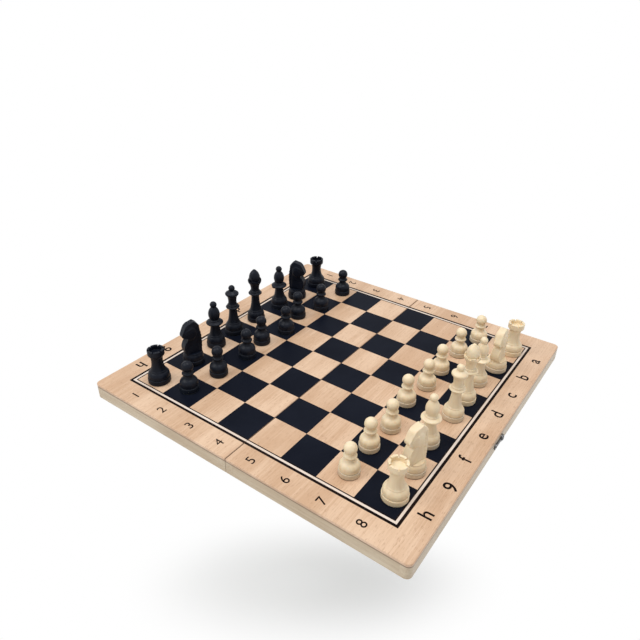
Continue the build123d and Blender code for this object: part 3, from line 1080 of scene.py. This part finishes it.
    def _body(self, kind: Kind) -> Turning:
        """The moulded body of a man. The knight's is only its foot."""
        bottom = self.shoulder_z
        start = (self._base(kind) - self.shoulder_inset, bottom)
        wide_foot = ((8.7, 6.6), ((8.2, 8.8), (6.6, 10.6)), (6.6, 11.4), (6.1, 11.6))
        tall_foot = ((7.9, 6.6), ((7.45, 8.8), (6.0, 10.6)), (6.0, 11.4), (5.5, 11.6))
        well_floor = self.rook_top - self.rook_well_depth
        sides: dict[Kind, tuple[Step, ...]] = {
            Kind.PAWN: (
                (7.3, 7.6),
                ((6.7, 9.6), (5.1, 11.2)),
                ((3.6, 12.8), (3.2, 15.0)),
                (4.6, 15.5),
                ((4.85, 16.2), (4.6, 16.9)),
                (3.8, 17.6),
                *ball(4.7, 22.1, 3.4),
            ),
            Kind.ROOK: (
                *wide_foot,
                ((4.6, 19.0), (5.2, 24.2)),
                (6.8, 26.0),
                (6.8, self.rook_top),
                (self.rook_well, self.rook_top),
                (self.rook_well, well_floor),
                (0.0, well_floor),
            ),
            Kind.KNIGHT: (
                (8.6, 7.4),
                ((8.2, 9.0), (7.5, 10.0)),
                (7.5, 11.0),
                (0.0, 11.0),
            ),
            Kind.BISHOP: (
                *tall_foot,
                ((4.3, 17.0), (3.9, 21.6)),
                (7.1, 22.9),
                ((7.5, 23.7), (7.0, 24.5)),
                (4.7, 25.6),
                ((5.0, 26.1), (4.4, 26.6)),
                (4.0, 27.4),
                ((5.0, 33.0), (2.4, 38.5)),
                *ball(3.0, 41.0, 2.0),
            ),
            Kind.QUEEN: (
                *tall_foot,
                ((4.1, 18.0), (3.6, 24.8)),
                ((4.3, 25.3), (4.4, 25.9)),
                (5.8, 26.5),
                ((6.2, 27.1), (5.8, 27.7)),
                (4.6, 28.2),
                (4.5, 28.8),
                ((4.9, 29.2), (4.5, 29.6)),
                (4.0, 29.9),
                ((3.7, 32.8), (4.5, 37.8)),
                (5.8, 39.4),
                ((6.1, 40.5), (5.3, 41.6)),
                (2.6, 43.4),
                *ball(2.9, 45.6, 2.0),
            ),
            Kind.KING: (
                *tall_foot,
                ((4.1, 18.8), (3.7, 26.8)),
                ((4.4, 27.3), (4.5, 27.9)),
                (5.9, 28.5),
                ((6.3, 29.1), (5.9, 29.7)),
                (4.6, 30.2),
                (4.5, 30.8),
                ((4.9, 31.2), (4.5, 31.6)),
                (4.0, 31.9),
                ((3.9, 34.4), (4.7, 38.2)),
                (6.0, 40.4),
                ((6.3, 41.9), (6.2, self.crown_top)),
                (5.6, self.crown_top),
                (5.0, self.crown_top - 1.7),
                (4.5, self.crown_top - 1.6),
                ((4.75, 47.6), (1.8, 52.17)),
                ((1.0, 53.03), (0.0, 53.3)),
            ),
        }
        return Turning((0.0, bottom), (start, *sides[kind]))

    def _rook_notches(self, builder: bmesh.types.BMesh) -> None:
        """Draws one cutter for each notch through the wall of a rook's crown."""
        top = self.rook_top * MM
        half_width = self.notch_width * MM / 2
        inner, outer = (reach * MM for reach in self.notch_span)
        corners = [(inner, -half_width), (outer, -half_width), (outer, half_width), (inner, half_width)]
        for k in range(self.notches):
            c, s = math.cos(math.tau * k / self.notches), math.sin(math.tau * k / self.notches)
            turned = [(x * c - y * s, x * s + y * c) for x, y in corners]
            slab(turned, top - self.notch_depth * MM, top + 2 * MM, builder)

    def _crown_scallops(self, builder: bmesh.types.BMesh) -> None:
        """Draws one lying cylinder for each round dip in the wall of a king's crown."""
        inner, outer = (reach * MM for reach in self.scallop_span)
        for k in range(self.scallops):
            place = (
                Matrix.Rotation(math.tau * (k + 0.5) / self.scallops, 4, "Z")
                @ Matrix.Translation(((inner + outer) / 2, 0, self.crown_top * MM))
                @ Matrix.Rotation(math.radians(90), 4, "Y")
            )
            bmesh.ops.create_cone(
                builder,
                cap_ends=True,
                segments=24,
                radius1=self.scallop_radius * MM,
                radius2=self.scallop_radius * MM,
                depth=outer - inner,
                matrix=place,
            )

    def _cut(self, mesh: bpy.types.Mesh, draw: Callable[[bmesh.types.BMesh], None]) -> bpy.types.Mesh:
        """Takes what a function draws away from a pattern.

        Args:
            mesh: The pattern, which is used up.
            draw: Draws the cutters.

        Returns:
            The pattern with the cuts.
        """
        cutter = mesh_piece("cutter", built("cutter", draw), [])
        for _ in range(self.materials_a_man):
            mesh.materials.append(None)
        whole = mesh_piece("whole_pattern", mesh, [])
        cut = whole.modifiers.new("cuts", "BOOLEAN")
        cut.operation = "DIFFERENCE"
        cut.solver = "EXACT"
        cut.object = cutter
        result = settled_mesh(whole, mesh.name)
        bpy.data.objects.remove(cutter)
        bpy.data.meshes.remove(mesh)
        result.materials.clear()
        result.set_sharp_from_angle(angle=math.radians(45))
        return result


@dataclass(frozen=True)
class Mark:
    """One oval of a carving on both flanks. A negative height is a hollow."""

    height: float
    middle: Point
    size: Point
    turn: float = 0.0

    def on(self, x: np.ndarray, z: np.ndarray) -> np.ndarray:
        """How far the mark raises each point of the flank."""
        dx, dz = x - self.middle[0], z - self.middle[1]
        c, s = math.cos(self.turn), math.sin(self.turn)
        u, v = (dx * c + dz * s) / self.size[0], (-dx * s + dz * c) / self.size[1]
        return self.height * np.exp(-(u * u + v * v))


@dataclass
class KnightHead:
    """A knight's head and neck, in millimetres, with the muzzle towards positive X."""

    voxel: float = 0.3
    half_width: float = 4.5
    foot_z: float = 11.0
    brow: Mark = Mark(-0.50, (3.3, 34.2), (1.1, 0.4), -0.7)
    eye: Mark = Mark(0.35, (2.8, 33.4), (0.8, 0.6))
    nostril: Mark = Mark(-0.55, (7.6, 29.4), (0.5, 0.4), 0.9)
    mouth: Mark = Mark(-0.45, (6.4, 27.5), (1.9, 0.25), -0.12)
    mane_edge: Mark = Mark(-0.50, (-4.4, 31.0), (0.45, 5.0), 0.10)
    nape_edge: Mark = Mark(-0.45, (-5.0, 20.0), (0.45, 7.0), -0.02)
    lock: Mark = Mark(-0.28, (-6.4, 13.0), (1.6, 0.32), 0.5)
    locks: int = 8
    lock_spacing: float = 3.3

    def _outline(self) -> list[Point]:
        """The head and neck seen from the side, anticlockwise."""
        side = Turning(
            (7.0, self.foot_z),
            (
                ((8.0, 18.5), (5.8, 23.0)),
                ((4.6, 24.2), (4.6, 25.6)),
                (7.6, 26.2),
                ((8.9, 28.2), (8.4, 30.6)),
                (6.3, 35.0),
                ((4.2, 37.7), (0.6, 39.0)),
                ((-1.6, 39.4), (-3.4, 38.8)),
                ((-6.0, 36.6), (-6.6, 33.0)),
                ((-8.0, 23.0), (-6.8, self.foot_z)),
            ),
            rounding=0.25,
            tolerance=0.05,
        )
        return side.outline()

    def _block(self) -> bpy.types.Mesh:
        """The outline as a plain block, wide enough to carve."""

        def draw(builder: bmesh.types.BMesh) -> None:
            """Draws the block lying on its side, and stands it up."""
            slab(self._outline(), -self.half_width, self.half_width, builder)
            stand = Matrix.Rotation(math.radians(90), 4, "X")
            bmesh.ops.transform(builder, matrix=stand, verts=builder.verts)

        return built("knight_block", draw)

    def _carve(self, mesh: bpy.types.Mesh) -> None:
        """Moves the points of the remeshed block to the planes, hollows and lines of a horse."""
        count = len(mesh.vertices)
        flat = np.zeros(count * 3, np.float32)
        mesh.vertices.foreach_get("co", flat)
        points = flat.reshape(-1, 3).astype(float)
        x, y, z = points.T
        share = np.clip(np.abs(y) / self.half_width, 0, 1)

        def plate(cx: float, cz: float, radius: float, edge: float) -> np.ndarray:
            """A flat disc of height 1 on the flanks, with an edge of the width given."""
            return 1 / (1 + np.exp((np.hypot(x - cx, z - cz) - radius) / edge))

        width = 1.0 - 0.20 * np.clip((z - self.foot_z) / 8.0, 0, 1)
        width += 0.16 * plate(1.4, 29.6, 5.2, 0.35)
        width -= 0.16 * np.clip((x - 3.0) / 5.0, 0, 1) * np.clip((z - 25) / 2, 0, 1)
        width -= 0.14 * np.clip((z - 35) / 4, 0, 1)
        carving = 0.30 * plate(0.8, 28.6, 3.6, 0.3)
        for mark in (self.brow, self.eye, self.nostril, self.mouth, self.mane_edge, self.nape_edge):
            carving += mark.on(x, z)
        x0, z0 = self.lock.middle
        for number in range(self.locks):
            carving += replace(self.lock, middle=(x0, z0 + self.lock_spacing * number)).on(x, z)
        flank = np.clip(share * 2 - 1, 0, 1)
        points[:, 1] = np.sign(y) * (share * self.half_width * width + carving * flank)
        mane = np.clip((-5.0 - x) / 2.0, 0, 1) * np.clip((z - self.foot_z) / 3, 0, 1)
        points[:, 0] += 0.3 * mane * (1 - np.cos(math.tau * (z - 12.6) / self.lock_spacing)) / 2
        ears = np.exp(-(((x + 2.4) / 1.0) ** 2) - ((np.abs(y) - 2.2) / 0.9) ** 2)
        points[:, 2] += 0.7 * ears * np.clip((z - 36.5) / 2, 0, 1)
        mesh.vertices.foreach_set("co", points.astype(np.float32).ravel())
        mesh.update()

    def join(self, foot: bpy.types.Mesh) -> bpy.types.Mesh:
        """Sets the carved head on a turned foot.

        Args:
            foot: The mesh of the foot, in metres, which is used up.

        Returns:
            The whole knight, in metres.
        """
        block = mesh_piece("knight_block", self._block(), [])
        remesh = block.modifiers.new("even_faces", "REMESH")
        remesh.mode = "VOXEL"
        remesh.voxel_size = self.voxel
        smooth = block.modifiers.new("eased_planes", "SMOOTH")
        smooth.factor = 0.5
        smooth.iterations = 6
        head = settled_mesh(block, "knight_head")
        self._carve(head)
        carved = mesh_piece("knight_carved", head, [])
        final = carved.modifiers.new("last_sanding", "SMOOTH")
        final.factor = 0.4
        final.iterations = 2
        head = settled_mesh(carved, "knight_head")
        head.shade_smooth()
        head.transform(Matrix.Scale(MM, 4))

        def draw(builder: bmesh.types.BMesh) -> None:
            """Joins head and foot."""
            builder.from_mesh(foot)
            builder.from_mesh(head)

        mesh = built("knight_pattern", draw)
        bpy.data.meshes.remove(foot)
        bpy.data.meshes.remove(head)
        return mesh


@dataclass(frozen=True)
class SoftLamp:
    """A square soft lamp that points at the middle of the board, in metres and watts."""

    name: str
    place: tuple[float, float, float]
    side: float
    power: float

    def hang(self) -> None:
        """Hangs the lamp in the studio."""
        light = bpy.data.lights.new(self.name, "AREA")
        light.size = self.side
        light.energy = self.power
        lamp = bpy.data.objects.new(self.name, light)
        lamp.location = self.place
        lamp.rotation_euler = (-Vector(self.place)).to_track_quat("-Z", "Y").to_euler()
        bpy.context.scene.collection.objects.link(lamp)


@dataclass
class Studio:
    """The pale floor well below the board, soft lamps, and the camera."""

    key_lamp: SoftLamp = SoftLamp("key_lamp", (-0.9, -1.0, 1.5), 1.1, 16.0)
    top_lamp: SoftLamp = SoftLamp("top_lamp", (0.16, 0.08, 1.7), 0.8, 13.2)
    shadow_middle: tuple[float, float, float] = (-0.027, -0.013, -0.29)
    floor_size: float = 12.0
    shadow_turn: float = 36.3
    shadow_shape: tuple[float, float, float] = (1.0, 0.4, 1.0)
    floor_glow: float = 0.2
    white_from: float = 0.04
    white_by: float = 0.24
    ambient: float = 0.48
    camera_place: tuple[float, float, float] = (0.22025, -0.34848, 0.30114)
    camera_turn: tuple[float, float, float] = (59.352, -1.051, 35.566)
    lens: float = 32.585
    sensor: float = 36.0

    def build(self) -> None:
        """Makes the world, the floor, the lamps and the camera."""
        bpy.context.scene.view_settings.view_transform = "Standard"
        self._world()
        self._floor()
        self.key_lamp.hang()
        self.top_lamp.hang()
        self._camera()
        log.info("studio is ready")

    def _world(self) -> None:
        """A white background that lights the object only at an even, lower level."""
        world = bpy.data.worlds.new("studio_world")
        bpy.context.scene.world = world
        world.use_nodes = True
        graph = Graph(world.node_tree)
        white = (1.0, 1.0, 1.0, 1.0)
        ambient = graph.node("ShaderNodeBackground", inputs={"Color": white, "Strength": self.ambient})
        backdrop = graph.node("ShaderNodeBackground", inputs={"Color": white, "Strength": 1.0})
        graph.show(graph.seen(), ambient, backdrop, "ShaderNodeOutputWorld")

    def _floor(self) -> None:
        """A floor that is white to the eye, but for the soft shadow round its middle."""
        half = self.floor_size / 2

        def draw(builder: bmesh.types.BMesh) -> None:
            """Draws one square."""
            corners = [(-half, -half), (half, -half), (half, half), (-half, half)]
            builder.faces.new([builder.verts.new((x, y, 0.0)) for x, y in corners])

        material = bpy.data.materials.new("studio_floor")
        material.use_nodes = True
        graph = Graph(material.node_tree)
        lit = graph.node("ShaderNodeBsdfDiffuse", inputs={"Color": (0.9, 0.9, 0.9, 1)})
        faint = graph.node("ShaderNodeEmission", inputs={"Strength": self.floor_glow})
        near = graph.node("ShaderNodeAddShader", inputs={0: lit.outputs[0], 1: faint.outputs[0]})
        far = graph.node("ShaderNodeEmission", inputs={"Strength": 1.0})
        away = graph.distance().rise(self.white_from, self.white_by)
        graph.show(graph.seen() * away, near, far, "ShaderNodeOutputMaterial")
        floor = mesh_piece("studio_floor", built("studio_floor", draw), [material])
        floor.location = self.shadow_middle
        floor.rotation_euler = (0.0, 0.0, math.radians(self.shadow_turn))
        floor.scale = self.shadow_shape

    def _camera(self) -> None:
        """The camera, where the grid on the board says that the photograph was taken."""
        data = bpy.data.cameras.new("camera")
        data.lens = self.lens
        data.sensor_width = self.sensor
        data.clip_start = 0.01
        data.clip_end = 50.0
        camera = bpy.data.objects.new("camera", data)
        camera.location = self.camera_place
        camera.rotation_euler = [math.radians(angle) for angle in self.camera_turn]
        bpy.context.scene.collection.objects.link(camera)
        bpy.context.scene.camera = camera


def main() -> None:
    """Builds the set and its studio in order."""
    logging.basicConfig(level=logging.INFO)
    finishes = Finishes.build()
    Board(finishes).build()
    Hardware(finishes).build()
    Men(finishes).build()
    Studio().build()


if __name__ == "__main__":
    main()
